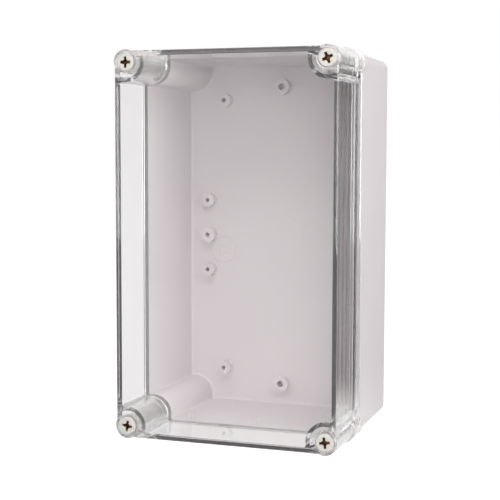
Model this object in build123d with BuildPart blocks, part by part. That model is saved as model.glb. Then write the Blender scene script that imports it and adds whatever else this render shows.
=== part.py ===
from build123d import *
import os
from math import radians, tan

# A plastic enclosure with a light grey base and a deep clear cover, in millimetres.
# It stands on a short side with the cover to the front: X runs across, Y from the cover to the back, Z up.
# The origin is in the middle of the footprint, on the surface that the box stands on.
# Places along Y are written as distances behind the cover's face, because both mouldings share them.

# Overall form, over the collars round the corner screws
width = 150.0
height = 250.0
cover_depth = 55.0
base_depth = 75.0
depth = cover_depth + base_depth

# Walls
flat_inset = 1.9
cover_wall = 3.1
cover_plate = 3.0
base_wall = 3.4
base_draft = 1.03
floor_thickness = 3.5
back_hollow = 6.0
room_corner = 1.5
front_edge = 0.6
rear_edge_radius = 3.0
floor_edge = 1.2

# Corner bosses, the collars at the joint and the arc walls that keep the screws outside the sealed room
collar_radius = 9.0
boss_radius = 8.0
boss_blend = 5.0
collar_on_cover = 15.0
collar_on_base = 3.0
flange_step = 0.5
arc_wall_radius = 12.4
arc_wall = 2.6
tube_radius = 7.2
web_thickness = 1.6
web_spread = 25.0
column_floor = 16.0

# Joint between the mouldings: the base's tongue stands into the cover's skirt and presses on a foamed gasket.
# The gasket's groove runs on from the skirt's inner face, deeper into the ledge.
tongue_thickness = 1.8
tongue_height = 10.0
tongue_gap = 0.3
ledge_gap = 0.4
shadow_gap = 3.0
gasket_inset = 0.3
gasket_groove_depth = 5.0

# Captive screw: a steel core in a moulded cap, carried by a washer that snaps onto its neck
cap_radius = 5.6
cap_gap = 0.3
cap_recess = 0.2
cap_lip = 1.4
cap_seat = 8.0
cap_edge = 0.5
head_radius = 4.2
shank_radius = 2.45
shank_bore = 2.9
neck_radius = 2.0
running_gap = 0.05
moulded_gap = 0.02
recess_span = 6.8
recess_width = 1.6
recess_depth = 3.4
recess_angle = 6.0
recess_corner = 1.3
aperture_margin = 0.1
thread_engagement = 8.4
screw_lift = 8.8
washer_radius = 4.3
washer_thickness = 1.2
washer_setback = 2.4
washer_bore = 4.6
washer_stop_gap = 0.4

# Threaded insert in each corner column, and the blind hole for a wall bracket behind it
insert_radius = 3.8
insert_length = 10.0
insert_setback = 0.2
tip_room = 10.0
bracket_hole_radius = 2.1
bracket_hole_depth = 15.0

# Bosses on the floor for a plate or rail
boss_height = 6.0
small_boss_radius = 4.8
large_boss_radius = 5.5
small_pilot_radius = 1.6
large_pilot_radius = 2.3
pilot_depth = 7.5
corner_pitch_x = 86.0
corner_pitch_z = 192.0
centre_pitch_z = 210.0
side_pitch_x = 111.0
side_pitch_z = 50.0

# Marks that moulding leaves on the floor
disc_radius = 13.0
disc_height = 0.3
pip_radius = 1.8
pip_height = 0.5
pip_x = 57.0
pip_z = 57.5

# Hollow back with ribs
back_rim = 6.0
back_rib = 3.0
back_rib_pitch = 78.0
back_pad_radius = 12.0
back_corner_radius = 10.0

# Reach of a search for edges and faces at a known place
search_reach = 0.01

# Places that follow from the sizes above
screw_x = width / 2 - collar_radius
screw_z = height / 2 - collar_radius
flat_x = width / 2 - flat_inset
flat_z = height / 2 - flat_inset
room_x = flat_x - cover_wall
room_z = flat_z - cover_wall
base_x = room_x + base_wall
base_z = room_z + base_wall
flange_x = flat_x + flange_step
flange_z = flat_z + flange_step
flange_rear = cover_depth - shadow_gap / 2
shoulder = cover_depth + shadow_gap / 2
collar_front = cover_depth - collar_on_cover
collar_rear = cover_depth + collar_on_base
back_shrink = (depth - shoulder) * tan(radians(base_draft))
tongue_front = cover_depth - tongue_height
ledge = tongue_front - ledge_gap
skirt_inset = tongue_thickness + tongue_gap
back_floor = depth - back_hollow
floor_depth = back_floor - floor_thickness
well_depth = back_floor - column_floor
boss_tip = floor_depth - boss_height
washer_rear = cover_depth - washer_setback
washer_front = washer_rear - washer_thickness
washer_stop = washer_front - screw_lift - washer_stop_gap
head_front = cap_recess + cap_lip
screw_tip = cover_depth + thread_engagement
insert_front = cover_depth + insert_setback
screw_axes = [(side * screw_x, level * screw_z) for side in (-1, 1) for level in (-1, 1)]

# Corners by name: side across, side up, and the turn of the driver recess, anticlockwise from the front
corners = {
    "top_left": (-1, 1, 0.0),
    "top_right": (1, 1, 23.0),
    "bottom_left": (-1, -1, -8.0),
    "bottom_right": (1, -1, 8.0),
}


def at_depth(distance):
    """Plane across the box at a distance behind the cover's face, looking forwards with Z up."""
    return Plane(origin=(0, distance - depth / 2, height / 2), x_dir=(1, 0, 0), z_dir=(0, -1, 0))


def along_screw(x, z):
    """Plane through a screw's axis: its X is the radius and its Y the distance behind the cover's face."""
    return Plane(origin=(x, -depth / 2, z + height / 2), x_dir=(1, 0, 0), z_dir=(0, 0, 1))


def screw_axis(x, z):
    """Axis of a corner screw, pointing backwards."""
    return Axis(origin=(x, -depth / 2, z + height / 2), direction=(0, 1, 0))


def outer_outline(distance, half_x, half_z, radius):
    """Flats with round corners, a boss on each screw axis and a hollow blend on both sides of it."""
    with BuildSketch(at_depth(distance)) as outline:
        RectangleRounded(2 * half_x, 2 * half_z, half_x - screw_x)
        with Locations(*screw_axes):
            Circle(radius)
        beside_bosses = [
            corner
            for corner in outline.vertices()
            if abs(corner.X) < half_x + search_reach and abs(corner.Y) < half_z + search_reach
        ]
        fillet(beside_bosses, boss_blend)
    return outline.sketch


def room_shape(outset):
    """Outline of the sealed room, which passes inside the screws; outset moves it outwards."""
    with BuildSketch() as outline:
        Rectangle(2 * (room_x + outset), 2 * (room_z + outset))
        with Locations(*screw_axes):
            Circle(arc_wall_radius - outset, mode=Mode.SUBTRACT)
        fillet(outline.vertices(), room_corner + outset)
    return outline.sketch


def room_outline(distance, outset=0.0):
    """The room's outline on its plane."""
    with BuildSketch(at_depth(distance)) as outline:
        add(room_shape(outset))
    return outline.sketch


def seal_outline(distance):
    """Band round the room that the gasket fills."""
    with BuildSketch(at_depth(distance)) as outline:
        add(room_shape(skirt_inset))
        add(room_shape(gasket_inset), mode=Mode.SUBTRACT)
    return outline.sketch


def skirt_outline(distance):
    """Room inside the cover's skirt, behind its ledge, round the four screw tubes."""
    half_x = room_x + skirt_inset
    half_z = room_z + skirt_inset
    with BuildSketch(at_depth(distance)) as outline:
        RectangleRounded(2 * half_x, 2 * half_z, half_x - screw_x)
        with Locations(*screw_axes):
            Circle(tube_radius, mode=Mode.SUBTRACT)
    return outline.sketch


def well_outline(distance):
    """Crescents between the screw tubes and the arc walls, each crossed by two webs."""
    with BuildSketch(at_depth(distance)) as outline:
        with Locations(*screw_axes):
            Circle(arc_wall_radius - arc_wall)
            Circle(tube_radius, mode=Mode.SUBTRACT)
        for x, z in screw_axes:
            inwards = Vector(1, 0).get_signed_angle(Vector(-x / abs(x), -z / abs(z)))
            for turn in (inwards - web_spread, inwards + web_spread):
                with Locations(Location((x, z, 0), (0, 0, turn))):
                    Rectangle(
                        arc_wall_radius,
                        web_thickness,
                        align=(Align.MIN, Align.CENTER),
                        mode=Mode.SUBTRACT,
                    )
        RectangleRounded(2 * room_x, 2 * room_z, room_x - screw_x, mode=Mode.INTERSECT)
    return outline.sketch


def screw_circles(distance, radius):
    """One circle on each screw axis."""
    with BuildSketch(at_depth(distance)) as outline:
        with Locations(*screw_axes):
            Circle(radius)
    return outline.sketch


def back_outline():
    """Room behind the floor, inside the rim and between the ribs, the corner pads and the middle pad."""
    half_x = base_x - back_shrink - back_rim
    half_z = base_z - back_shrink - back_rim
    with BuildSketch(at_depth(depth)) as outline:
        Rectangle(2 * half_x, 2 * half_z)
        with Locations(*screw_axes):
            Circle(back_corner_radius, mode=Mode.SUBTRACT)
        with GridLocations(0, back_rib_pitch, 1, 3):
            Rectangle(2 * half_x, back_rib, mode=Mode.SUBTRACT)
        Rectangle(back_rib, 2 * half_z, mode=Mode.SUBTRACT)
        Circle(back_pad_radius, mode=Mode.SUBTRACT)
    return outline.sketch


# Clear cover: plate, drafted walls, flange and collars, then the room, wells, seal ledge and screw bores
with BuildPart() as cover:
    extrude(outer_outline(collar_front, flat_x, flat_z, boss_radius), amount=collar_front)
    chamfer(cover.faces().sort_by(Axis.Y)[0].outer_wire().edges(), front_edge)
    extrude(
        outer_outline(flange_rear, flange_x, flange_z, collar_radius), amount=flange_rear - collar_front
    )
    extrude(screw_circles(cover_depth, collar_radius), amount=cover_depth - flange_rear)
    extrude(room_outline(ledge), amount=ledge - cover_plate, mode=Mode.SUBTRACT)
    extrude(well_outline(ledge), amount=ledge - cover_plate, mode=Mode.SUBTRACT)
    extrude(skirt_outline(cover_depth), amount=cover_depth - ledge, mode=Mode.SUBTRACT)
    extrude(seal_outline(ledge), amount=gasket_groove_depth, mode=Mode.SUBTRACT)
    with Locations(at_depth(0)):
        with Locations(*screw_axes):
            CounterBoreHole(shank_bore, cap_radius + cap_gap, cap_seat)
    extrude(screw_circles(cover_depth, washer_bore), amount=cover_depth - washer_stop, mode=Mode.SUBTRACT)

# Base: drafted walls with a hollow back, corner columns and collars, the tongue and the room with its floor
with BuildPart() as base:
    base_outline = outer_outline(collar_rear, base_x, base_z, collar_radius)
    with BuildSketch(at_depth(shoulder)):
        RectangleRounded(2 * base_x, 2 * base_z, base_x - screw_x)
    extrude(amount=shoulder - depth, taper=base_draft)
    fillet(base.faces().sort_by(Axis.Y)[-1].outer_wire().edges(), rear_edge_radius)
    extrude(base_outline, amount=collar_rear - shoulder)
    extrude(screw_circles(shoulder, collar_radius), amount=shoulder - cover_depth)
    extrude(room_outline(shoulder, tongue_thickness), amount=shoulder - tongue_front)
    extrude(room_outline(floor_depth), amount=floor_depth - tongue_front, mode=Mode.SUBTRACT)
    floor_y = at_depth(floor_depth).origin.Y
    floor_faces = base.faces().filter_by_position(Axis.Y, floor_y - search_reach, floor_y + search_reach)
    chamfer(floor_faces.edges(), floor_edge)
    extrude(well_outline(well_depth), amount=well_depth - cover_depth, mode=Mode.SUBTRACT)
    extrude(back_outline(), amount=back_hollow, mode=Mode.SUBTRACT)
    with Locations(at_depth(cover_depth)):
        with Locations(*screw_axes):
            CounterBoreHole(
                shank_bore,
                insert_radius + moulded_gap,
                insert_setback + insert_length,
                depth=thread_engagement + tip_room,
            )
    extrude(
        screw_circles(depth, bracket_hole_radius), amount=bracket_hole_depth, mode=Mode.SUBTRACT
    )
    with BuildSketch(at_depth(floor_depth)):
        with GridLocations(corner_pitch_x, corner_pitch_z, 2, 2):
            Circle(small_boss_radius)
        with GridLocations(side_pitch_x, side_pitch_z, 2, 2):
            Circle(small_boss_radius)
        with GridLocations(0, centre_pitch_z, 1, 2):
            Circle(large_boss_radius)
        with GridLocations(side_pitch_x, 0, 2, 1):
            Circle(large_boss_radius)
    extrude(amount=boss_height)
    with Locations(at_depth(boss_tip)):
        with GridLocations(corner_pitch_x, corner_pitch_z, 2, 2):
            Hole(small_pilot_radius, depth=pilot_depth)
        with GridLocations(side_pitch_x, side_pitch_z, 2, 2):
            Hole(small_pilot_radius, depth=pilot_depth)
        with GridLocations(0, centre_pitch_z, 1, 2):
            Hole(large_pilot_radius, depth=pilot_depth)
        with GridLocations(side_pitch_x, 0, 2, 1):
            Hole(small_pilot_radius, depth=pilot_depth)
    with BuildSketch(at_depth(floor_depth)):
        Circle(disc_radius)
    extrude(amount=disc_height)
    with BuildSketch(at_depth(floor_depth)):
        with Locations((-pip_x, pip_z), (pip_x, pip_z)):
            Circle(pip_radius)
    extrude(amount=pip_height)

# Gasket: one closed band in the cover's groove, standing out to the tip of the tongue
with BuildPart() as gasket:
    extrude(seal_outline(tongue_front), amount=gasket_groove_depth + ledge_gap)


def driver_cross(distance, x, z, turn, margin=0.0):
    """Cross for a screwdriver with hollow inner corners, turned about the screw and widened by a margin."""
    with BuildSketch() as cross:
        Rectangle(recess_span + 2 * margin, recess_width + 2 * margin)
        Rectangle(recess_width + 2 * margin, recess_span + 2 * margin)
        fillet(cross.vertices().sort_by(SortBy.DISTANCE)[:4], recess_corner)
    with BuildSketch(at_depth(distance)) as placed:
        with Locations(Location((x, z, 0), (0, 0, turn))):
            add(cross.sketch)
    return placed.sketch


def make_screw_core(x, z, turn):
    """Steel core: head with a driver recess, shank, neck for the washer and threaded end."""
    neck_front = washer_front - running_gap
    neck_rear = washer_rear + running_gap
    with BuildPart() as core:
        with BuildSketch(along_screw(x, z)):
            with BuildLine():
                Polyline(
                    (0, head_front),
                    (head_radius, head_front),
                    (head_radius, cap_seat),
                    (shank_radius, cap_seat),
                    (shank_radius, neck_front),
                    (neck_radius, neck_front),
                    (neck_radius, neck_rear),
                    (shank_radius, neck_rear),
                    (shank_radius, screw_tip),
                    (0, screw_tip),
                    close=True,
                )
            make_face()
        revolve(axis=screw_axis(x, z))
        extrude(
            driver_cross(head_front, x, z, turn),
            amount=-recess_depth,
            taper=recess_angle,
            mode=Mode.SUBTRACT,
        )
    return core


def make_screw_cap(x, z, turn):
    """Moulded cap: a lip over the steel head, open at the driver recess, and a wall down to the seat."""
    with BuildPart() as cap:
        with BuildSketch(along_screw(x, z)):
            with BuildLine():
                Polyline(
                    (0, cap_recess),
                    (cap_radius - cap_edge, cap_recess),
                    (cap_radius, cap_recess + cap_edge),
                    (cap_radius, cap_seat),
                    (head_radius + moulded_gap, cap_seat),
                    (head_radius + moulded_gap, head_front),
                    (0, head_front),
                    close=True,
                )
            make_face()
        revolve(axis=screw_axis(x, z))
        extrude(driver_cross(head_front, x, z, turn, aperture_margin), amount=cap_lip, mode=Mode.SUBTRACT)
    return cap


def make_washer(x, z):
    """Washer that keeps the screw in the cover when it is undone."""
    bore = neck_radius + running_gap
    with BuildPart() as washer:
        with BuildSketch(along_screw(x, z)):
            with Locations(((bore + washer_radius) / 2, (washer_front + washer_rear) / 2)):
                Rectangle(washer_radius - bore, washer_thickness)
        revolve(axis=screw_axis(x, z))
    return washer


def make_insert(x, z):
    """Brass insert in the mouth of a column, with a plain thread bore."""
    bore = shank_radius + running_gap
    with BuildPart() as insert:
        with BuildSketch(along_screw(x, z)):
            with Locations(((bore + insert_radius) / 2, insert_front + insert_length / 2)):
                Rectangle(insert_radius - bore, insert_length)
        revolve(axis=screw_axis(x, z))
    return insert


pieces = {"cover": cover, "base": base, "gasket": gasket}
for corner, (side, level, turn) in corners.items():
    place = (side * screw_x, level * screw_z)
    pieces["screw_core_" + corner] = make_screw_core(*place, turn)
    pieces["screw_cap_" + corner] = make_screw_cap(*place, turn)
    pieces["retaining_washer_" + corner] = make_washer(*place)
    pieces["threaded_insert_" + corner] = make_insert(*place)

os.makedirs("parts", exist_ok=True)
for name, piece in pieces.items():
    piece.part.label = name
    export_step(piece.part, "parts/" + name + ".step")
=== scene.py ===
"""Looks of a plastic enclosure with a light grey base and a deep clear cover.

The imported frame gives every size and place. Mouldings and hardware are merged, smoothed copies of the
frame's own solids with rounded edges, and what moulding and machining leave on them is modelled here.
"""

from __future__ import annotations

import logging
import math
from collections import defaultdict
from collections.abc import Callable, Iterator, Mapping
from contextlib import contextmanager
from dataclasses import dataclass, field
from enum import Enum
from typing import Any, Union

import bmesh
import bpy
from mathutils import Euler, Matrix, Vector

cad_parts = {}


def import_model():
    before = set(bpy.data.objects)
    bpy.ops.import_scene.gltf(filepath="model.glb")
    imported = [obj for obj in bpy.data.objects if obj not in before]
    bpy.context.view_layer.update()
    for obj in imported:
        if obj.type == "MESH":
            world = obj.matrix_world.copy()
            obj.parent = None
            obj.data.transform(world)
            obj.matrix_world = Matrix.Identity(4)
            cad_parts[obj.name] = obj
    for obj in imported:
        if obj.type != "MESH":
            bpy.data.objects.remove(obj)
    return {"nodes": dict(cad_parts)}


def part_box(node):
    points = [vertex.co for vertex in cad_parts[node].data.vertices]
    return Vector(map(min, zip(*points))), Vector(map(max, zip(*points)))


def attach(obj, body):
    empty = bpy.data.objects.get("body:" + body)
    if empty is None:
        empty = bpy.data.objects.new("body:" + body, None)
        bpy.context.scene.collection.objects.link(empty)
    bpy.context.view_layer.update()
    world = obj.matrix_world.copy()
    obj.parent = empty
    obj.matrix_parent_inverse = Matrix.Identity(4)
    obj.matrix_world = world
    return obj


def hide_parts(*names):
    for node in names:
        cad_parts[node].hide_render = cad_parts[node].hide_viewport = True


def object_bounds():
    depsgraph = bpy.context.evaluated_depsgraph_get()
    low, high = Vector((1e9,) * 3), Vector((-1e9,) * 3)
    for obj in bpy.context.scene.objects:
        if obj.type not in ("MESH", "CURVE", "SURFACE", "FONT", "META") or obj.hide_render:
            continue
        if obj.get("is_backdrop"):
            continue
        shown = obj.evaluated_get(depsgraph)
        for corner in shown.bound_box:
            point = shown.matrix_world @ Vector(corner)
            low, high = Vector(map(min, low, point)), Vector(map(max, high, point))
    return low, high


MILLIMETRE = 0.001
WHOLE_TURN = 2 * math.pi

# Points this close become one, and smaller distances and angles count as none
MERGE = 0.002 * MILLIMETRE
SNAP = 0.003 * MILLIMETRE

# How far Blender's wave texture turns over one unit
WAVE_RADIANS = 20

# How far behind the front of the box the screw core's head is painted dark brown: painted shade of its
# deep recess, with a brown tone
HEAD_DEPTH = 6 * MILLIMETRE

# How far to the left and right of the middle, and above and below it, the axes of each group stand
SCREW_AXES = (66 * MILLIMETRE, 116 * MILLIMETRE)
BOSS_AXES = (
    (43 * MILLIMETRE, 96 * MILLIMETRE),
    (0.0, 105 * MILLIMETRE),
    (55.5 * MILLIMETRE, 25 * MILLIMETRE),
    (55.5 * MILLIMETRE, 0.0),
    (57 * MILLIMETRE, 57.5 * MILLIMETRE),
    (0.0, 0.0),
)

Colour = tuple[float, float, float]
Tone = Union[Colour, bpy.types.NodeSocket]
log = logging.getLogger("enclosure")


class Corner(Enum):
    """A corner that holds a screw, named as seen from the front."""

    TOP_LEFT = "top_left"
    TOP_RIGHT = "top_right"
    BOTTOM_LEFT = "bottom_left"
    BOTTOM_RIGHT = "bottom_right"

    def node(self, piece: str) -> str:
        """Name of the frame's node for one piece of this corner."""
        return f"{piece}_{self.value}"


class Body(Enum):
    """A body of the frame that pieces ride on."""

    BASE = "base"
    COVER = "cover"


# Shader maths


class Signal:
    """A socket whose value can be used in Python expressions, each of which adds a Math node."""

    def __init__(self, sheet: ShaderSheet, socket: bpy.types.NodeSocket) -> None:
        """Wrap a socket of a sheet."""
        self.sheet = sheet
        self.socket = socket

    def _math(self, operation: str, *values: Operand) -> Signal:
        """Add a Math node.

        Args:
            operation: the Math node's operation.
            values: its inputs, in order.

        Returns:
            Its result.
        """
        inputs = dict(enumerate(values))
        return self.sheet.signal("ShaderNodeMath", {"operation": operation}, inputs)

    def __add__(self, other: Operand) -> Signal:
        """Sum."""
        return self._math("ADD", self, other)

    def __sub__(self, other: Operand) -> Signal:
        """Difference."""
        return self._math("SUBTRACT", self, other)

    def __rsub__(self, other: Operand) -> Signal:
        """Difference from a number."""
        return self._math("SUBTRACT", other, self)

    def __mul__(self, other: Operand) -> Signal:
        """Product."""
        return self._math("MULTIPLY", self, other)

    def __abs__(self) -> Signal:
        """Size without sign."""
        return self._math("ABSOLUTE", self)

    def __pow__(self, other: Operand) -> Signal:
        """Power."""
        return self._math("POWER", self, other)

    def __or__(self, other: Operand) -> Signal:
        """The larger of two."""
        return self._math("MAXIMUM", self, other)

    __radd__ = __add__
    __rmul__ = __mul__

    def between(self, low: float, high: float) -> Signal:
        """Rise smoothly from 0 at low to 1 at high.

        Args:
            low: where it starts.
            high: where it ends.

        Returns:
            The smooth step.
        """
        settings = {"interpolation_type": "SMOOTHSTEP"}
        inputs = {"Value": self, "From Min": low, "From Max": high}
        return self.sheet.signal("ShaderNodeMapRange", settings, inputs)

    def around(self, middle: float, swing: float) -> Signal:
        """Spread 0 to 1 evenly round a value.

        Args:
            middle: the value that 0.5 becomes.
            swing: distance between what 0 and 1 become.

        Returns:
            The spread signal.
        """
        return self * swing + (middle - swing / 2)


Operand = Union[Signal, float]


@dataclass(frozen=True)
class AxisGrid:
    """Four axes along Y, equally far to the left and right of the middle and above and below it."""

    aside: float
    above: float
    middle: float

    def axes(self) -> list[Vector]:
        """Where the four axes stand."""
        return [
            Vector((side * self.aside, 0.0, self.middle + level * self.above))
            for side in (-1, 1)
            for level in (-1, 1)
        ]


class ShaderSheet:
    """The node tree of a material, a lamp or the surroundings, in which one method makes every node."""

    def __init__(self, owner: bpy.types.Material | bpy.types.World | bpy.types.Light) -> None:
        """Clear the owner's tree and take it over."""
        owner.use_nodes = True
        self.tree = owner.node_tree
        self.tree.nodes.clear()

    def node(
        self,
        kind: str,
        settings: Mapping[str, Any] | None = None,
        inputs: Mapping[Any, Any] | None = None,
    ) -> bpy.types.Node:
        """Make a node.

        Args:
            kind: Blender's name of the node's type.
            settings: its properties, which are set first.
            inputs: values, sockets or signals by the input's name or number.

        Returns:
            The node.
        """
        made = self.tree.nodes.new(kind)
        for name, value in (settings or {}).items():
            setattr(made, name, value)
        for name, value in (inputs or {}).items():
            if isinstance(value, Signal):
                value = value.socket
            if isinstance(value, bpy.types.NodeSocket):
                self.tree.links.new(value, made.inputs[name])
            else:
                made.inputs[name].default_value = value
        return made

    def signal(
        self,
        kind: str,
        settings: Mapping[str, Any] | None = None,
        inputs: Mapping[Any, Any] | None = None,
        output: str | int = 0,
    ) -> Signal:
        """Make a node and wrap one of its outputs.

        Args:
            kind: Blender's name of the node's type.
            settings: its properties.
            inputs: its inputs.
            output: the output's name or number.

        Returns:
            The output as a signal.
        """
        return Signal(self, self.node(kind, settings, inputs).outputs[output])

    def place(self, scale: Vector | None = None) -> bpy.types.NodeSocket:
        """Object coordinates in metres, stretched by a scale.

        Args:
            scale: how much each axis is multiplied by.

        Returns:
            The vector's socket.
        """
        here = self.node("ShaderNodeTexCoord").outputs["Object"]
        if scale is None:
            return here
        return self.node("ShaderNodeMapping", None, {"Vector": here, "Scale": scale}).outputs[0]

    def heading(self, start: Vector) -> bpy.types.NodeSocket:
        """Direction in which a point lies from a fixed place.

        Args:
            start: the fixed place in object coordinates.

        Returns:
            The direction's socket, a vector of length 1.
        """
        ends = {0: self.place(), 1: start}
        away = self.node("ShaderNodeVectorMath", {"operation": "SUBTRACT"}, ends).outputs[0]
        return self.node("ShaderNodeVectorMath", {"operation": "NORMALIZE"}, {0: away}).outputs[0]

    def parts(self, vector: bpy.types.NodeSocket) -> tuple[Signal, Signal, Signal]:
        """Split a vector.

        Args:
            vector: the vector's socket.

        Returns:
            Its three parts.
        """
        split = self.node("ShaderNodeSeparateXYZ", None, {"Vector": vector})
        return tuple(Signal(self, socket) for socket in split.outputs)

    def off_axes(self, axes: AxisGrid) -> Signal:
        """Distance of a point from the nearest of four axes along Y.

        Args:
            axes: where they stand.

        Returns:
            The distance in metres.
        """
        x, _, z = self.parts(self.place())
        aside = abs(abs(x) - axes.aside)
        above = abs(abs(z - axes.middle) - axes.above)
        return (aside**2 + above**2) ** 0.5

    def noise(self, size: float, detail: float = 2.0, stretch: Vector | None = None) -> Signal:
        """Noise of one grain size.

        Args:
            size: width of a grain in metres.
            detail: number of finer layers.
            stretch: how much each axis is multiplied by first.

        Returns:
            The noise, from 0 to 1.
        """
        inputs = {"Vector": self.place(stretch), "Scale": 1 / size, "Detail": detail}
        return self.signal("ShaderNodeTexNoise", {}, inputs)

    def bands(self, period: float) -> Signal:
        """Even waves along Y.

        Args:
            period: length of a wave in metres.

        Returns:
            The waves, from 0 to 1.
        """
        settings = {"wave_type": "BANDS", "bands_direction": "Y"}
        inputs = {"Vector": self.place(), "Scale": WHOLE_TURN / WAVE_RADIANS / period}
        return self.signal("ShaderNodeTexWave", settings, inputs, "Fac")

    def tint(self, factor: Operand, low: Tone, high: Tone) -> bpy.types.NodeSocket:
        """Blend two colours.

        Args:
            factor: 0 for the first and 1 for the second.
            low: the first colour or its socket.
            high: the second colour or its socket.

        Returns:
            The colour's socket.
        """
        inputs = {0: factor}
        for slot, end in ((6, low), (7, high)):
            inputs[slot] = end if isinstance(end, bpy.types.NodeSocket) else (*end, 1.0)
        return self.node("ShaderNodeMix", {"data_type": "RGBA"}, inputs).outputs[2]

    def relief(self, height: Operand, depth: float) -> bpy.types.NodeSocket:
        """Bump from a height.

        Args:
            height: the height, from 0 to 1.
            depth: what 1 stands for, in metres.

        Returns:
            The normal's socket.
        """
        inputs = {"Height": height, "Distance": depth, "Strength": 1.0}
        return self.node("ShaderNodeBump", None, inputs).outputs[0]

    def ray(self, *kinds: str) -> Signal:
        """The largest of what the Light Path node says about a ray.

        Args:
            kinds: outputs of the Light Path node.

        Returns:
            The signal.
        """
        path = self.node("ShaderNodeLightPath")
        first, *others = (Signal(self, path.outputs[kind]) for kind in kinds)
        for other in others:
            first = first | other
        return first

    def straight(self) -> Signal:
        """1 for rays that come from the camera by way of shiny surfaces alone, and 0 for the rest."""
        shiny = self.ray("Is Glossy Ray", "Is Transmission Ray")
        return shiny * (1 - self.ray("Diffuse Depth").between(0.0, 1.0))

    def blend(self, factor: Operand, first: bpy.types.Node, second: bpy.types.Node) -> bpy.types.Node:
        """Mix two shaders.

        Args:
            factor: 0 for the first and 1 for the second.
            first: the first shader.
            second: the second shader.

        Returns:
            The mixed shader.
        """
        inputs = {0: factor, 1: first.outputs[0], 2: second.outputs[0]}
        return self.node("ShaderNodeMixShader", None, inputs)

    def output(self, kind: str, shader: bpy.types.Node) -> None:
        """Join a shader to a new output node."""
        self.node(kind, None, {"Surface": shader.outputs[0]})


def lighter(colour: Colour, share: float) -> Colour:
    """A colour multiplied by a share, up to white."""
    return tuple(min(1.0, channel * share) for channel in colour)


# Finishes


@dataclass(frozen=True)
class Finish:
    """What the surface of a piece is made of."""

    name: str
    slot: str

    def shader(self, sheet: ShaderSheet) -> bpy.types.Node:
        """Build the finish's own shader on a sheet."""
        raise NotImplementedError

    def material(self) -> bpy.types.Material:
        """Build a material of this finish.

        Returns:
            The material.
        """
        material = bpy.data.materials.new(self.name)
        sheet = ShaderSheet(material)
        sheet.output("ShaderNodeOutputMaterial", self.shader(sheet))
        return material


@dataclass(frozen=True)
class SatinPlastic(Finish):
    """Opaque moulded plastic with a fine spark-eroded texture and a slow flow of tone."""

    colour: Colour
    roughness: float = 0.5
    roughness_swing: float = 0.12
    grain: float = 0.35 * MILLIMETRE
    grain_depth: float = 0.006 * MILLIMETRE
    cloud: float = 60 * MILLIMETRE
    cloud_share: float = 0.03
    ior: float = 1.52

    def shader(self, sheet: ShaderSheet) -> bpy.types.Node:
        """Build the shader.

        Args:
            sheet: the material's node sheet.

        Returns:
            The shader.
        """
        grain = sheet.noise(self.grain, 3.0)
        cloud = sheet.noise(self.cloud, 1.0)
        darker = lighter(self.colour, 1 - self.cloud_share)
        paler = lighter(self.colour, 1 + self.cloud_share)
        inputs = {
            "Base Color": sheet.tint(cloud, darker, paler),
            "Roughness": grain.around(self.roughness, self.roughness_swing),
            "IOR": self.ior,
            "Normal": sheet.relief(grain, self.grain_depth),
        }
        return sheet.node("ShaderNodeBsdfPrincipled", None, inputs)


@dataclass(frozen=True)
class ClearPlastic(Finish):
    """Clear moulded plastic with flow waves, scuffs, mould steps, frosted tubes and painted shade on two
    hidden faces.
    """

    colour: Colour
    screws: AxisGrid
    ior: float = 1.585
    roughness: float = 0.02
    wave: float = 40 * MILLIMETRE
    wave_depth: float = 0.002 * MILLIMETRE
    scuff: float = 3 * MILLIMETRE
    scuff_roughness: float = 0.02
    step: float = 9.2 * MILLIMETRE
    step_depth: float = 0.05 * MILLIMETRE
    step_wall: tuple[float, float] = (60 * MILLIMETRE, 65 * MILLIMETRE)
    # Levels of the flange's rear face and of the gasket groove's floor, which get painted shade: a
    # near-black colour standing in for the shade of the joint behind the clear walls
    rear_face: float = -11.5 * MILLIMETRE
    groove_floor: float = -25.4 * MILLIMETRE
    level_reach: tuple[float, float] = (0.1 * MILLIMETRE, 0.15 * MILLIMETRE)
    painted_shade_colour: Colour = (0.04, 0.033, 0.038)
    frost_reach: float = 13 * MILLIMETRE
    frost_fade: float = 1 * MILLIMETRE
    frost_roughness: float = 0.05
    bore_reach: float = 6.2 * MILLIMETRE
    bore_fade: float = 0.1 * MILLIMETRE
    bore_roughness: float = 0.3

    def near(self, y: Signal, level: float) -> Signal:
        """1 for points at one level along Y and 0 for the rest.

        Args:
            y: the points' places along Y.
            level: the level.

        Returns:
            The mask.
        """
        return 1 - abs(y - level).between(*self.level_reach)

    def shader(self, sheet: ShaderSheet) -> bpy.types.Node:
        """Build the shader. Lamps shine through it, so that what stands behind it is lit.

        Args:
            sheet: the material's node sheet.

        Returns:
            The shader.
        """
        wave = sheet.noise(self.wave, 1.0)
        scuff = sheet.noise(self.scuff, 4.0)
        x, y, _ = sheet.parts(sheet.place())
        steps = sheet.bands(self.step) * x.between(*self.step_wall)
        off_axis = sheet.off_axes(self.screws)
        frost = 1 - off_axis.between(self.frost_reach - self.frost_fade, self.frost_reach)
        bore = 1 - off_axis.between(self.bore_reach - self.bore_fade, self.bore_reach)
        frosted = frost * self.frost_roughness + bore * self.bore_roughness
        # Painted shade: the flange's rear face (away from the screw tubes) and the gasket groove's floor
        # are tinted near black, standing in for the shade in the joint seen through the walls
        painted_shade_mask = self.near(y, self.rear_face) * (1 - frost) | self.near(y, self.groove_floor)
        height = steps + wave * (self.wave_depth / self.step_depth)
        inputs = {
            "Base Color": sheet.tint(painted_shade_mask, self.colour, self.painted_shade_colour),
            "Transmission Weight": 1.0,
            "IOR": self.ior,
            "Roughness": scuff * self.scuff_roughness + frosted + self.roughness,
            "Normal": sheet.relief(height, self.step_depth),
        }
        clear = sheet.node("ShaderNodeBsdfPrincipled", None, inputs)
        open_air = sheet.node("ShaderNodeBsdfTransparent", None, {"Color": (*self.colour, 1.0)})
        return sheet.blend(sheet.ray("Is Shadow Ray"), clear, open_air)


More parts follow.
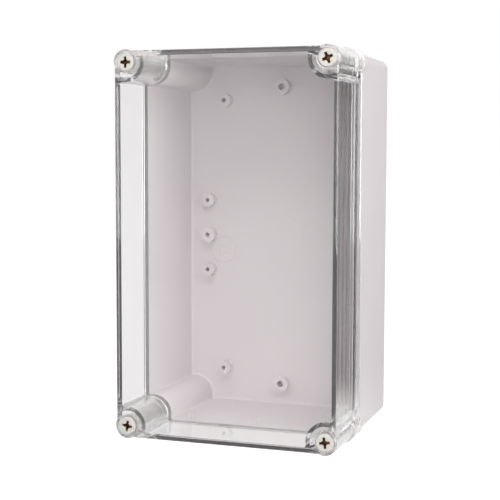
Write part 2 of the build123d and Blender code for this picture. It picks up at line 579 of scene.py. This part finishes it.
@dataclass(frozen=True)
class FoamRubber(Finish):
    """Foamed rubber with a skin of small open cells."""

    colour: Colour
    cell: float = 0.5 * MILLIMETRE
    cell_depth: float = 0.075 * MILLIMETRE
    cell_shares: tuple[float, float] = (0.8, 1.15)
    roughness: float = 0.9

    def shader(self, sheet: ShaderSheet) -> bpy.types.Node:
        """Build the shader.

        Args:
            sheet: the material's node sheet.

        Returns:
            The shader.
        """
        inputs = {"Vector": sheet.place(), "Scale": 1 / self.cell}
        cells = sheet.signal("ShaderNodeTexVoronoi", {"feature": "F1"}, inputs)
        tones = (lighter(self.colour, share) for share in self.cell_shares)
        inputs = {
            "Base Color": sheet.tint(cells, *tones),
            "Roughness": self.roughness,
            "Normal": sheet.relief(cells, self.cell_depth),
        }
        return sheet.node("ShaderNodeBsdfPrincipled", None, inputs)


@dataclass(frozen=True)
class GlossPlastic(Finish):
    """Small moulded parts with a soft gloss and faint flow marks."""

    colour: Colour
    roughness: float = 0.3
    roughness_swing: float = 0.14
    flow: float = 2.5 * MILLIMETRE
    flow_depth: float = 0.02 * MILLIMETRE
    flow_shares: tuple[float, float] = (0.95, 1.04)
    ior: float = 1.5

    def shader(self, sheet: ShaderSheet) -> bpy.types.Node:
        """Build the shader.

        Args:
            sheet: the material's node sheet.

        Returns:
            The shader.
        """
        flow = sheet.noise(self.flow, 3.0)
        tones = (lighter(self.colour, share) for share in self.flow_shares)
        inputs = {
            "Base Color": sheet.tint(flow, *tones),
            "Roughness": flow.around(self.roughness, self.roughness_swing),
            "IOR": self.ior,
            "Normal": sheet.relief(flow, self.flow_depth),
        }
        return sheet.node("ShaderNodeBsdfPrincipled", None, inputs)


@dataclass(frozen=True)
class TurnedMetal(Finish):
    """Turned and plated metal with fine tool rings, a mottled sheen and, on a screw, a head painted dark
    brown: painted shade of its deep recess, with a brown tone.
    """

    colour: Colour
    least_roughness: float
    # Colour painted on a screw's head in its recess: partly painted shade of the deep recess, partly a
    # brown tone
    head_shade_and_tone: Colour | None = None
    head_rear: float = 0.0
    head_fade: float = 0.1 * MILLIMETRE
    ring: float = 0.09 * MILLIMETRE
    ring_stretch: tuple[float, float, float] = (0.02, 1.0, 0.02)
    ring_depth: float = 0.01 * MILLIMETRE
    ring_roughness: float = 0.1
    mottle: float = 1.2 * MILLIMETRE
    mottle_roughness: float = 0.2
    mottle_shares: tuple[float, float] = (0.82, 1.1)

    def shader(self, sheet: ShaderSheet) -> bpy.types.Node:
        """Build the shader.

        Args:
            sheet: the material's node sheet.

        Returns:
            The shader.
        """
        rings = sheet.noise(self.ring, 2.0, Vector(self.ring_stretch))
        mottle = sheet.noise(self.mottle, 3.0)
        tones = (lighter(self.colour, share) for share in self.mottle_shares)
        colour = sheet.tint(mottle, *tones)
        # Painted shade: the screw's head in its deep recess gets a dark brown colour, partly standing in
        # for the recess's shade and partly a brown tone
        if self.head_shade_and_tone:
            _, y, _ = sheet.parts(sheet.place())
            behind = y.between(self.head_rear - self.head_fade, self.head_rear)
            colour = sheet.tint(behind, self.head_shade_and_tone, colour)
        sheen = mottle * self.mottle_roughness + rings * self.ring_roughness
        inputs = {
            "Base Color": colour,
            "Metallic": 1.0,
            "Roughness": sheen + self.least_roughness,
            "Normal": sheet.relief(rings, self.ring_depth),
        }
        return sheet.node("ShaderNodeBsdfPrincipled", None, inputs)


# Modelling by hand


def take(piece: bpy.types.Object) -> None:
    """Select one piece alone and make it active."""
    bpy.ops.object.select_all(action="DESELECT")
    piece.select_set(True)
    bpy.context.view_layer.objects.active = piece


@contextmanager
def editing(piece: bpy.types.Object, select: Callable[[Vector], bool] | None = None) -> Iterator[None]:
    """Open a piece in edit mode.

    Args:
        piece: the mesh to edit.
        select: picks the points to work on by their place; all are picked without it.
    """
    take(piece)
    for vertex in piece.data.vertices:
        vertex.select = select is None or select(vertex.co)
    bpy.ops.object.mode_set(mode="EDIT")
    bpy.ops.mesh.select_mode(type="VERT")
    if select is None:
        bpy.ops.mesh.select_all(action="SELECT")
    yield
    bpy.ops.object.mode_set(mode="OBJECT")


def apply_modifier(piece: bpy.types.Object, kind: str, **settings: Any) -> None:
    """Add a modifier to a piece and apply it.

    Args:
        piece: the piece.
        kind: the modifier's type.
        settings: its properties.
    """
    take(piece)
    modifier = piece.modifiers.new(kind.title(), kind)
    for name, value in settings.items():
        setattr(modifier, name, value)
    bpy.ops.object.modifier_apply(modifier=modifier.name)


@dataclass
class FramePiece:
    """A merged, smoothed copy of a frame node, with rounded edges and a finish."""

    node: str
    body: str
    finish: Finish
    edge: float = 0.0
    segments: int = 2
    crease: float = math.radians(32)
    flat: float = math.radians(0.3)
    many_sides: int = 10
    shrink: float = 0.0
    contact: float | None = None
    contact_gap: float = 0.03 * MILLIMETRE
    arcs: tuple[AxisGrid, ...] = ()
    arc_reach: float = 14 * MILLIMETRE
    arc_step: float = math.radians(26)
    piece: bpy.types.Object = field(init=False)

    def copy(self, nodes: Mapping[str, bpy.types.Object]) -> bpy.types.Object:
        """Copy the node, merge its loose triangles and join those that lie in one plane.

        Args:
            nodes: the frame's nodes by name.

        Returns:
            The copy.
        """
        mesh = nodes[self.node].data.copy()
        mesh.materials.clear()
        self.piece = bpy.data.objects.new(f"{self.node}_moulded", mesh)
        bpy.context.scene.collection.objects.link(self.piece)
        with editing(self.piece):
            bpy.ops.mesh.remove_doubles(threshold=MERGE)
            bpy.ops.mesh.dissolve_limited(angle_limit=self.flat)
        return self.piece

    def round_arcs(self) -> None:
        """Halve the chords round the known axes and move their middles out to the true circle."""
        if not self.arcs:
            return
        axes = [axis for grid in self.arcs for axis in grid.axes()]
        work = bmesh.new()
        work.from_mesh(self.piece.data)
        radii = {}
        for edge in work.edges:
            start, end = (vertex.co for vertex in edge.verts)
            if abs(start.y - end.y) > SNAP:
                continue
            axis = min(axes, key=lambda place: math.hypot(start.x - place.x, start.z - place.z))
            spans = [Vector((point.x - axis.x, point.z - axis.z)) for point in (start, end)]
            radius = spans[0].length
            if SNAP < radius < self.arc_reach and abs(radius - spans[1].length) < SNAP:
                if SNAP < spans[0].angle(spans[1], 0.0) < self.arc_step:
                    radii[edge] = (axis, radius)
        middles = set()
        for edge, (axis, radius) in radii.items():
            _, middle = bmesh.utils.edge_split(edge, edge.verts[0], 0.5)
            out = Vector((middle.co.x - axis.x, 0.0, middle.co.z - axis.z)).normalized() * radius
            middle.co = Vector((axis.x, middle.co.y, axis.z)) + out
            middles.add(middle)
        for face in list(work.faces):
            corners = list(face.verts)
            own = [vertex for vertex in corners if vertex in middles]
            if len(own) == 2:
                bmesh.utils.face_split(face, *own)
            elif len(own) == 1 and len(corners) == 4:
                across = corners[(corners.index(own[0]) + 2) % 4]
                bmesh.utils.face_split(face, own[0], across)
        work.to_mesh(self.piece.data)
        work.free()

    def ease_contacts(self) -> None:
        """Leave a hair of air where clear plastic touches the piece, as light gets lost between them."""
        if self.shrink:
            with editing(self.piece):
                bpy.ops.transform.shrink_fatten(value=-self.shrink)
        if self.contact is not None:
            for vertex in self.piece.data.vertices:
                if abs(vertex.co.y - self.contact) < SNAP:
                    vertex.co.y += self.contact_gap

    def round_edges(self) -> None:
        """Round the sharp edges a little, as a mould's own edges are."""
        if self.edge:
            apply_modifier(
                self.piece,
                "BEVEL",
                width=self.edge,
                segments=self.segments,
                limit_method="ANGLE",
                angle_limit=self.crease,
                miter_outer="MITER_ARC",
                use_clamp_overlap=True,
            )

    def refill_flats(self) -> None:
        """Fill the many-sided flat faces again, plane by plane, as one polygon can't hold holes."""
        work = bmesh.new()
        work.from_mesh(self.piece.data)
        planes = defaultdict(list)
        for face in work.faces:
            if len(face.verts) > self.many_sides:
                level = face.normal.dot(face.verts[0].co)
                key = (*(round(share, 2) for share in face.normal), round(level / MILLIMETRE, 2))
                planes[key].append(face)
        for faces in planes.values():
            normal = faces[0].normal.copy()
            edges = list(dict.fromkeys(edge for face in faces for edge in face.edges))
            bmesh.ops.delete(work, geom=faces, context="FACES_ONLY")
            outline = [edge for edge in edges if edge.link_faces]
            for seam in [edge for edge in edges if not edge.link_faces]:
                work.edges.remove(seam)
            filled = bmesh.ops.triangle_fill(work, use_beauty=True, edges=outline, normal=normal)
            for face in filled["geom"]:
                if isinstance(face, bmesh.types.BMFace) and face.normal.dot(normal) < 0:
                    face.normal_flip()
        work.to_mesh(self.piece.data)
        work.free()

    def dress(self) -> None:
        """Smooth the copy, give it its finish and let it stand for its node."""
        take(self.piece)
        bpy.ops.object.shade_smooth_by_angle(angle=self.crease)
        apply_modifier(self.piece, "WEIGHTED_NORMAL", keep_sharp=True, weight=80)
        self.piece.data.materials.clear()
        self.piece.data.materials.append(self.finish.material())
        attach(self.piece, self.body)
        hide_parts(self.node)
        log.info("%s: %d faces, rides on %s", self.piece.name, len(self.piece.data.polygons), self.body)

    def build(self, nodes: Mapping[str, bpy.types.Object]) -> bpy.types.Object:
        """Make the whole piece.

        Args:
            nodes: the frame's nodes by name.

        Returns:
            The piece.
        """
        self.copy(nodes)
        self.round_arcs()
        self.ease_contacts()
        self.round_edges()
        self.refill_flats()
        self.dress()
        return self.piece


# The parts of the enclosure


@dataclass
class CornerScrew:
    """A captive cover screw: steel core, moulded cap, washer, and the insert that it goes into."""

    corner: Corner
    steel: Finish
    cap: Finish
    nylon: Finish
    brass: Finish
    pitch: float = 0.8 * MILLIMETRE
    thread_depth: float = 0.45 * MILLIMETRE
    thread_gap: float = 0.3 * MILLIMETRE
    thread_sunk: float = 0.05 * MILLIMETRE
    foot_shares: tuple[float, float] = (0.03, 0.97)
    crest_shares: tuple[float, float] = (0.44, 0.56)
    turn_steps: int = 28
    cap_edge: float = 0.35 * MILLIMETRE
    cap_segments: int = 3
    cap_shrink: float = 0.01 * MILLIMETRE
    small_edge: float = 0.12 * MILLIMETRE

    def cut_thread(self, core: bpy.types.Object, start: float, stop: float) -> None:
        """Neck the plain end of a core down and wind a thread round it.

        Args:
            core: the core's merged copy.
            start: front end of the thread along Y.
            stop: the screw's tip along Y.
        """
        low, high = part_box(self.corner.node("screw_core"))
        axis = Vector(((low.x + high.x) / 2, 0.0, (low.z + high.z) / 2))
        crest = max(
            math.hypot(point.co.x - axis.x, point.co.z - axis.z)
            for point in core.data.vertices
            if point.co.y > start
        )
        root = crest - self.thread_depth
        with editing(core, lambda point: point.y > start - SNAP):
            share = root / crest
            bpy.ops.transform.resize(value=(share, 1.0, share), center_override=axis)
        turns = int((stop - start) / self.pitch) - 1
        bpy.ops.mesh.primitive_plane_add(size=1.0)
        ridge = bpy.context.object
        sunk = root - self.thread_sunk
        profile = (
            (sunk, self.foot_shares[0]),
            (crest, self.crest_shares[0]),
            (sunk, self.foot_shares[1]),
            (crest, self.crest_shares[1]),
        )
        for vertex, (out, share) in zip(ridge.data.vertices, profile):
            vertex.co = Vector((out, start + share * self.pitch, 0.0))
        apply_modifier(
            ridge,
            "SCREW",
            axis="Y",
            angle=WHOLE_TURN,
            screw_offset=self.pitch,
            iterations=turns,
            steps=self.turn_steps,
            render_steps=self.turn_steps,
            use_merge_vertices=True,
            use_normal_calculate=True,
        )
        ridge.data.transform(Matrix.Translation(axis))
        with editing(ridge):
            bpy.ops.mesh.remove_doubles(threshold=MERGE)
            bpy.ops.mesh.fill_holes(sides=4)
            bpy.ops.mesh.normals_make_consistent(inside=False)
        take(ridge)
        core.select_set(True)
        bpy.context.view_layer.objects.active = core
        bpy.ops.object.join()

    def build(self, nodes: Mapping[str, bpy.types.Object]) -> None:
        """Make the four pieces.

        Args:
            nodes: the frame's nodes by name.
        """
        turning = self.corner.node("screw")
        rising = self.corner.node("washer")
        core = FramePiece(self.corner.node("screw_core"), turning, self.steel, self.small_edge)
        core.copy(nodes)
        core.round_edges()
        core.refill_flats()
        _, washer_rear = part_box(self.corner.node("retaining_washer"))
        _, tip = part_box(core.node)
        self.cut_thread(core.piece, washer_rear.y + self.thread_gap, tip.y)
        core.dress()
        FramePiece(
            self.corner.node("screw_cap"),
            turning,
            self.cap,
            self.cap_edge,
            self.cap_segments,
            shrink=self.cap_shrink,
        ).build(nodes)
        washer = self.corner.node("retaining_washer")
        FramePiece(washer, rising, self.nylon, self.small_edge).build(nodes)
        insert = self.corner.node("threaded_insert")
        FramePiece(insert, Body.BASE.value, self.brass, self.small_edge).build(nodes)


@dataclass
class MouldMarks:
    """Fine raised marks on the inner face of the clear plate: gate rings, and two dials with ticks."""

    finish: Finish
    front: float
    middle: float
    plate: float = 3.0 * MILLIMETRE
    line: float = 0.2 * MILLIMETRE
    gate_rings: tuple[float, ...] = (2.8 * MILLIMETRE, 8.0 * MILLIMETRE)
    dial_ring: float = 3.2 * MILLIMETRE
    pointer: float = 5.12 * MILLIMETRE
    dial_aside: float = 22 * MILLIMETRE
    dial_below: float = 106 * MILLIMETRE
    tick_ring: float = 6.5 * MILLIMETRE
    tick: float = 1.1 * MILLIMETRE
    ticks: int = 12
    crease: float = math.radians(40)

    def ring(self, centre: Vector, radius: float) -> bpy.types.Object:
        """Lay a thin round line on the plate.

        Args:
            centre: its middle.
            radius: its radius.

        Returns:
            The line.
        """
        bpy.ops.mesh.primitive_torus_add(
            location=centre,
            rotation=(math.radians(90), 0.0, 0.0),
            major_radius=radius,
            minor_radius=self.line / 2,
            major_segments=48,
            minor_segments=6,
        )
        return bpy.context.object

    def bar(self, centre: Vector, turn: float, length: float) -> bpy.types.Object:
        """Lay a short straight line on the plate.

        Args:
            centre: its middle.
            turn: its turn about Y.
            length: its length.

        Returns:
            The line.
        """
        bpy.ops.mesh.primitive_cube_add(size=1.0, location=centre, rotation=(0.0, turn, 0.0))
        made = bpy.context.object
        made.scale = (self.line, self.line, length)
        bpy.ops.object.transform_apply(location=False, rotation=False, scale=True)
        return made

    def dial(self, centre: Vector) -> list[bpy.types.Object]:
        """Lay a ring with a pointer and ticks round it.

        Args:
            centre: the dial's middle.

        Returns:
            Its lines.
        """
        lines = [self.ring(centre, self.dial_ring), self.bar(centre, 0.0, self.pointer)]
        for number in range(self.ticks):
            turn = WHOLE_TURN * number / self.ticks
            out = Vector((math.sin(turn), 0.0, math.cos(turn))) * self.tick_ring
            lines.append(self.bar(centre + out, turn, self.tick))
        return lines

    def build(self) -> bpy.types.Object:
        """Lay all the marks as one piece that rides on the cover.

        Returns:
            The marks.
        """
        face = self.front + self.plate
        lines = [self.ring(Vector((0.0, face, self.middle)), radius) for radius in self.gate_rings]
        for side in (-1, 1):
            lines += self.dial(Vector((side * self.dial_aside, face, self.middle - self.dial_below)))
        bpy.ops.object.select_all(action="DESELECT")
        for line in lines:
            line.select_set(True)
        bpy.context.view_layer.objects.active = lines[0]
        bpy.ops.object.join()
        marks = bpy.context.object
        marks.name = "mould_marks"
        bpy.ops.object.transform_apply()
        bpy.ops.object.shade_smooth_by_angle(angle=self.crease)
        marks.data.materials.append(self.finish.material())
        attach(marks, Body.COVER.value)
        log.info("%s: %d lines, rides on %s", marks.name, len(lines), Body.COVER.value)
        return marks


# The studio


@dataclass
class Softbox:
    """A square lamp aimed at the middle of the box, which shiny surfaces don't show."""

    name: str
    place: Vector
    size: float
    power: float

    def build(self, aim: Vector) -> None:
        """Hang the lamp.

        Args:
            aim: the point that it faces.
        """
        lamp = bpy.data.lights.new(self.name, "AREA")
        lamp.shape = "SQUARE"
        lamp.size = self.size
        lamp.energy = self.power
        sheet = ShaderSheet(lamp)
        glow = sheet.node("ShaderNodeEmission", None, {"Strength": 1 - sheet.straight()})
        sheet.output("ShaderNodeOutputLight", glow)
        holder = bpy.data.objects.new(self.name, lamp)
        bpy.context.scene.collection.objects.link(holder)
        holder.location = self.place
        holder.rotation_euler = (aim - self.place).to_track_quat("-Z", "Y").to_euler()


@dataclass
class Studio:
    """White floor and surroundings, a dark screen for shiny surfaces, soft lamps and the camera."""

    camera_place: Vector = field(default_factory=lambda: Vector((0.26958, -0.76338, 0.18841)))
    camera_yaw: float = math.radians(19.815)
    camera_pitch: float = math.radians(4.86)
    camera_roll: float = math.radians(0.138)
    lens: float = 87.65
    sensor: float = 36.0
    floor_size: float = 12.0
    floor_glow: float = 0.98
    floor_shadow: Colour = (0.25, 0.25, 0.25)
    floor_colour: Colour = (0.8, 0.8, 0.8)
    room_light: float = 0.5
    front_light: float = 0.05
    front_to_room: tuple[float, float] = (-0.35, 0.15)
    screen_light: float = 0.05
    screen_aside: tuple[float, float] = (0.1, 0.2)
    screen_behind: tuple[float, float] = (0.3, 0.8)
    screen_above: tuple[float, float] = (0.1, 0.3)
    light_bounces: int = 48
    lamps: tuple[Softbox, ...] = (
        Softbox("top_softbox", Vector((0.5, -1.0, 1.6)), 0.8, 9.2),
        Softbox("side_softbox", Vector((1.3, -0.45, 0.35)), 0.7, 9.4),
        Softbox("left_softbox", Vector((-0.9, -1.1, 1.3)), 0.8, 5.4),
        Softbox("front_softbox", Vector((0.7, -1.5, 0.3)), 0.8, 9.3),
    )

    def mirrored(self, sheet: ShaderSheet, direction: bpy.types.NodeSocket) -> Signal:
        """How bright the surroundings look in a shiny surface, with a dark screen behind on the right.

        Args:
            sheet: the node sheet to build on.
            direction: where the surroundings lie from the box.

        Returns:
            The strength.
        """
        x, y, z = sheet.parts(direction)
        aside = x.between(*self.screen_aside) * y.between(*self.screen_behind)
        screen = aside * (1 - z.between(*self.screen_above))
        return 1 - screen * (1 - self.screen_light)

    def lay_floor(self, level: float, middle: float) -> None:
        """Lay the floor and mark it as part of the stage.

        Args:
            level: its height.
            middle: height of the box's middle.
        """
        bpy.ops.object.select_all(action="DESELECT")
        bpy.ops.mesh.primitive_plane_add(size=self.floor_size, location=(0.0, 0.0, level))
        floor = bpy.context.object
        floor.name = "studio_floor"
        material = bpy.data.materials.new("studio_floor")
        sheet = ShaderSheet(material)
        plain = sheet.node("ShaderNodeBsdfDiffuse", None, {"Color": (*self.floor_colour, 1.0)})
        shadow = sheet.node("ShaderNodeBsdfDiffuse", None, {"Color": (*self.floor_shadow, 1.0)})
        glow = sheet.node("ShaderNodeEmission", None, {"Strength": self.floor_glow})
        shown = sheet.node("ShaderNodeAddShader", None, {0: shadow.outputs[0], 1: glow.outputs[0]})
        direction = sheet.heading(Vector((0.0, 0.0, middle - level)))
        mirrored = sheet.node("ShaderNodeEmission", None, {"Strength": self.mirrored(sheet, direction)})
        unseen = sheet.blend(sheet.straight(), plain, mirrored)
        whole = sheet.blend(sheet.ray("Is Camera Ray"), unseen, shown)
        sheet.output("ShaderNodeOutputMaterial", whole)
        floor.data.materials.append(material)
        floor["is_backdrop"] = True

    def fill_room(self) -> None:
        """Surround the scene with white that lights it less from the front than from the back."""
        world = bpy.data.worlds.new("studio_room")
        bpy.context.scene.world = world
        sheet = ShaderSheet(world)
        camera = sheet.ray("Is Camera Ray")
        straight = sheet.straight()
        direction = sheet.node("ShaderNodeTexCoord").outputs["Generated"]
        _, y, _ = sheet.parts(direction)
        added = self.room_light - self.front_light
        soft = y.between(*self.front_to_room) * added + self.front_light
        mirrored = self.mirrored(sheet, direction)
        strength = camera | straight * mirrored | (1 - straight) * soft
        inputs = {"Color": (1.0, 1.0, 1.0, 1.0), "Strength": strength}
        sheet.output("ShaderNodeOutputWorld", sheet.node("ShaderNodeBackground", None, inputs))

    def stand_camera(self) -> None:
        """Stand the camera where the photograph was taken."""
        camera = bpy.data.objects.new("camera", bpy.data.cameras.new("camera"))
        bpy.context.scene.collection.objects.link(camera)
        camera.data.lens = self.lens
        camera.data.sensor_width = self.sensor
        aim = Euler((math.radians(90) - self.camera_pitch, 0.0, self.camera_yaw)).to_matrix()
        turn = aim @ Matrix.Rotation(self.camera_roll, 3, "Z")
        camera.matrix_world = Matrix.Translation(self.camera_place) @ turn.to_4x4()
        bpy.context.scene.camera = camera

    def build(self, low: Vector, high: Vector) -> None:
        """Make the whole studio round the object.

        Args:
            low: lowest corner of the object.
            high: highest corner of the object.
        """
        self.lay_floor(low.z, (low.z + high.z) / 2)
        self.fill_room()
        for lamp in self.lamps:
            lamp.build((low + high) / 2)
        self.stand_camera()
        scene = bpy.context.scene
        scene.view_settings.view_transform = "Standard"
        scene.cycles.max_bounces = self.light_bounces
        scene.cycles.transmission_bounces = self.light_bounces
        scene.cycles.glossy_bounces = self.light_bounces
        log.info("studio: %d lamps and the camera", len(self.lamps))


def main() -> None:
    """Dress the frame and build the studio."""
    logging.basicConfig(level=logging.INFO, format="%(name)s: %(message)s")
    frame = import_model()
    nodes = frame["nodes"]
    cad_low, cad_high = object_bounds()

    middle = (cad_low.z + cad_high.z) / 2
    screws = AxisGrid(*SCREW_AXES, middle)
    bosses = tuple(AxisGrid(*axes, middle) for axes in BOSS_AXES)

    base_plastic = SatinPlastic("base_plastic", "base_plastic", (0.679, 0.638, 0.651))
    clear = ClearPlastic("cover_clear", "cover_clear", (0.95, 0.947, 0.946), screws)
    foam = FoamRubber("gasket_foam", "gasket_foam", (0.17, 0.155, 0.16))
    steel = TurnedMetal(
        "screw_steel",
        "screw_steel",
        (0.92, 0.92, 0.91),
        least_roughness=0.38,
        # Dark brown painted on the head in its recess: painted shade with a brown tone
        head_shade_and_tone=(0.22, 0.12, 0.06),
        head_rear=cad_low.y + HEAD_DEPTH,
    )
    cap = GlossPlastic("cap_plastic", "cap_plastic", (0.73, 0.70, 0.655))
    nylon = GlossPlastic("washer_plastic", "washer_plastic", (0.72, 0.70, 0.64), roughness=0.45)
    brass = TurnedMetal("insert_brass", "insert_brass", (0.72, 0.53, 0.25), least_roughness=0.18)

    _, cover_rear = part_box("cover")
    FramePiece(
        "base",
        Body.BASE.value,
        base_plastic,
        edge=0.25 * MILLIMETRE,
        contact=cover_rear.y,
        arcs=(screws, *bosses),
    ).build(nodes)
    FramePiece("cover", Body.COVER.value, clear, edge=0.3 * MILLIMETRE, arcs=(screws,)).build(nodes)
    FramePiece(
        "gasket",
        Body.COVER.value,
        foam,
        edge=0.25 * MILLIMETRE,
        shrink=0.03 * MILLIMETRE,
        arcs=(screws,),
    ).build(nodes)
    MouldMarks(clear, cad_low.y, middle).build()
    for corner in Corner:
        CornerScrew(corner, steel, cap, nylon, brass).build(nodes)

    Studio().build(cad_low, cad_high)


if __name__ == "__main__":
    main()
